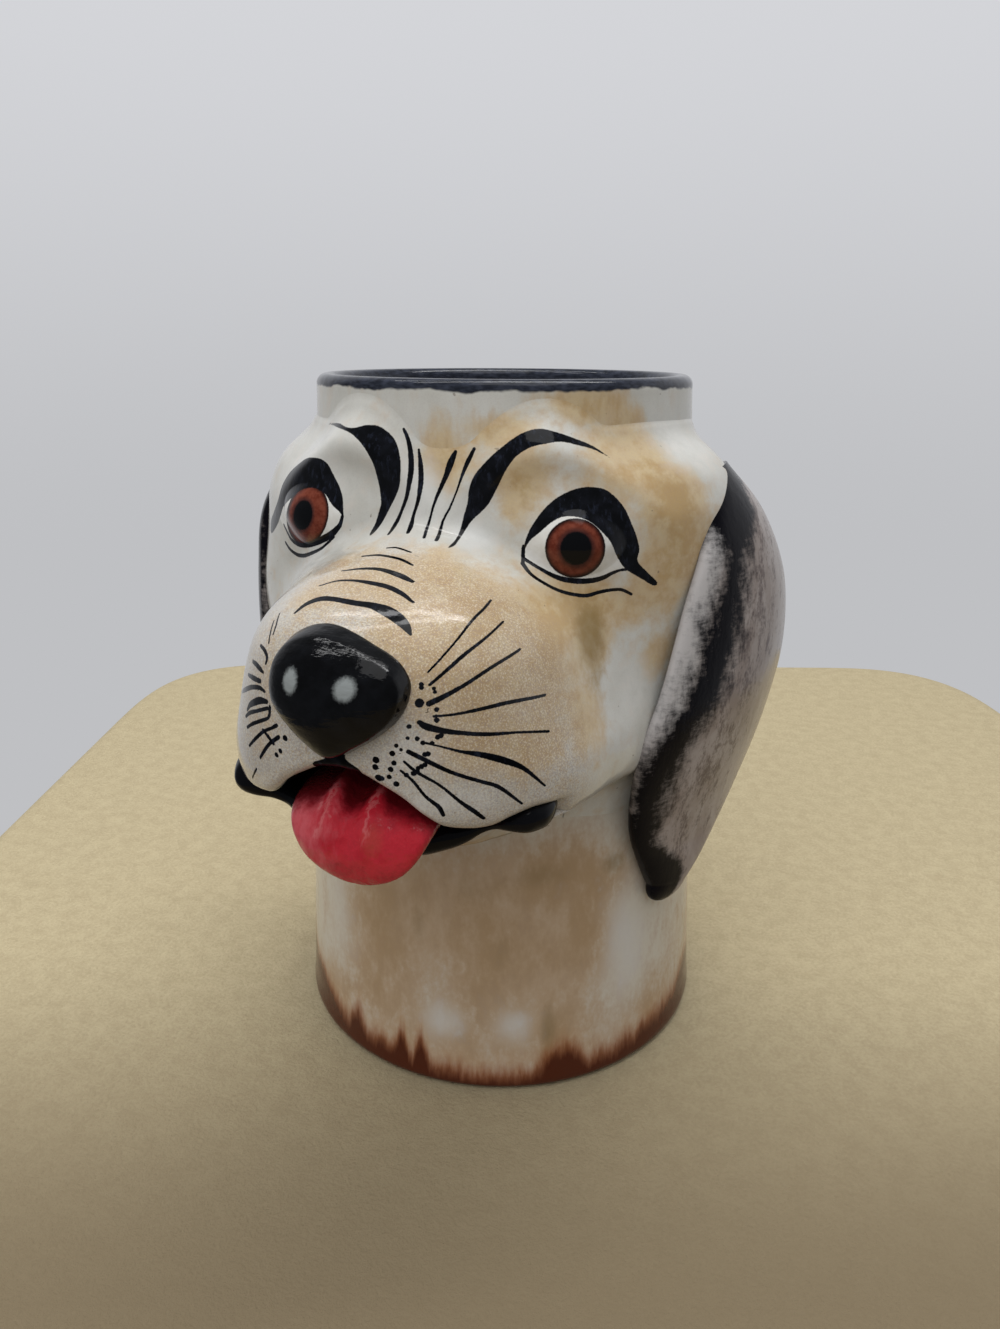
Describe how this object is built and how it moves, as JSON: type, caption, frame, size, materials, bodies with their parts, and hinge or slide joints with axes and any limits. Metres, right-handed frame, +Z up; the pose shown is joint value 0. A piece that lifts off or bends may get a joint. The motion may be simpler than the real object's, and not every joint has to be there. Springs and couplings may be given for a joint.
{
  "type": "dog mug",
  "caption": "Tall glazed pottery drinking mug in the form of a dog's head with hanging ears, open mouth and tongue out, and a strap handle at the back.",
  "frame": {"origin": "middle of the flat underside that the mug stands on, on the axis of the cup", "axes": "+Z up the axis of the cup, -Y the way the dog looks, +X the dog's left, the handle on +Y"},
  "size_m": [0.1245, 0.1635, 0.148],
  "materials": {
    "body_glaze": "glossy clear glaze over cream and tan sponging",
    "nose_glaze": "glossy black glaze",
    "eye_glaze": "glossy glaze over painted white, brown iris and black pupil",
    "mouth_glaze": "glossy glaze over black brushwork",
    "tongue_glaze": "glossy red glaze",
    "ear_glaze": "glossy glaze over dark brown and lilac-grey sponging"
  },
  "bodies": {
    "root": {"cup_wall": "body_glaze", "cup_floor": "body_glaze", "face_mask": "body_glaze", "nose": "nose_glaze", "left_eye": "eye_glaze", "right_eye": "eye_glaze", "lower_jaw": "mouth_glaze", "tongue": "tongue_glaze", "left_ear": "ear_glaze", "right_ear": "ear_glaze", "handle": "body_glaze"}
  },
  "joints": []
}
